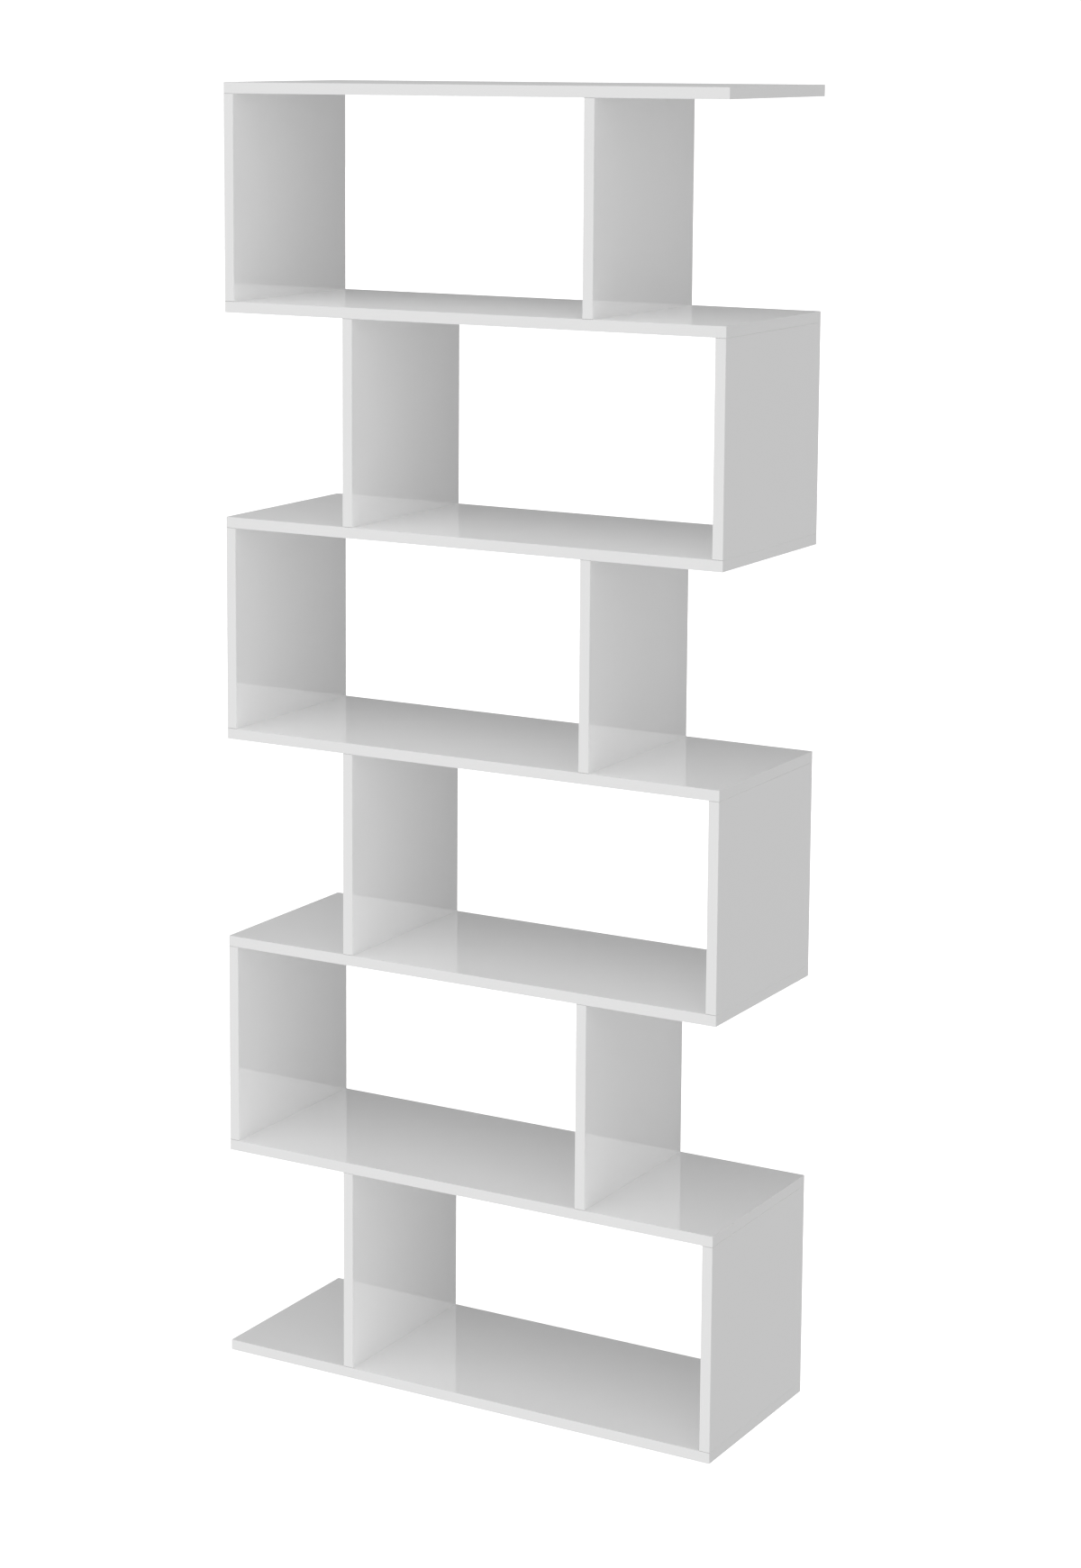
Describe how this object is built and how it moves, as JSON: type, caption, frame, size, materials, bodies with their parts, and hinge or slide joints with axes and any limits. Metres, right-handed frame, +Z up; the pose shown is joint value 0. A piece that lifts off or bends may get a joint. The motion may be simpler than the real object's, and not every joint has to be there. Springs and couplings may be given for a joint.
{
  "type": "zigzag bookcase",
  "caption": "Tall open bookcase in gloss white: full-width shelves on short uprights that step from side to side, with open niches alternating left and right.",
  "frame": {"origin": "on the floor, under the middle of the bookcase", "axes": "+Z up, +X to the right along the shelves seen from the front, +Y to the back"},
  "size_m": [0.8, 0.3, 1.9],
  "materials": {
    "gloss_white_panel": "chipboard with a high-gloss white face, mirror-like",
    "white_edge_band": "gloss white plastic edge strip",
    "plated_steel": "bright zinc plate",
    "cast_zinc": "dull die-cast zinc",
    "white_cap": "satin white moulding",
    "beech": "raw fluted beech",
    "glide_plastic": "satin moulded polyethylene",
    "bracket_paint": "white powder coat"
  },
  "bodies": {
    "root": {"bottom_board": "gloss_white_panel", "shelf_1": "gloss_white_panel", "shelf_2": "gloss_white_panel", "shelf_3": "gloss_white_panel", "shelf_4": "gloss_white_panel", "shelf_5": "gloss_white_panel", "top_board": "gloss_white_panel", "tier_1_end_upright": "gloss_white_panel", "tier_1_inset_upright": "gloss_white_panel", "tier_2_end_upright": "gloss_white_panel", "tier_2_inset_upright": "gloss_white_panel", "tier_3_end_upright": "gloss_white_panel", "tier_3_inset_upright": "gloss_white_panel", "tier_4_end_upright": "gloss_white_panel", "tier_4_inset_upright": "gloss_white_panel", "tier_5_end_upright": "gloss_white_panel", "tier_5_inset_upright": "gloss_white_panel", "tier_6_end_upright": "gloss_white_panel", "tier_6_inset_upright": "gloss_white_panel", "bottom_board_edge_bands": "white_edge_band", "shelf_1_edge_bands": "white_edge_band", "shelf_2_edge_bands": "white_edge_band", "shelf_3_edge_bands": "white_edge_band", "shelf_4_edge_bands": "white_edge_band", "shelf_5_edge_bands": "white_edge_band", "top_board_edge_bands": "white_edge_band", "tier_1_end_upright_edge_bands": "white_edge_band", "tier_1_inset_upright_edge_bands": "white_edge_band", "tier_2_end_upright_edge_bands": "white_edge_band", "tier_2_inset_upright_edge_bands": "white_edge_band", "tier_3_end_upright_edge_bands": "white_edge_band", "tier_3_inset_upright_edge_bands": "white_edge_band", "tier_4_end_upright_edge_bands": "white_edge_band", "tier_4_inset_upright_edge_bands": "white_edge_band", "tier_5_end_upright_edge_bands": "white_edge_band", "tier_5_inset_upright_edge_bands": "white_edge_band", "tier_6_end_upright_edge_bands": "white_edge_band", "tier_6_inset_upright_edge_bands": "white_edge_band", "cam_bolts": "plated_steel", "cam_locks": "cast_zinc", "cam_cover_caps": "white_cap", "dowels": "beech", "floor_glides": "glide_plastic", "glide_nails": "plated_steel", "wall_bracket": "bracket_paint", "wall_bracket_screws": "plated_steel"}
  },
  "joints": []
}
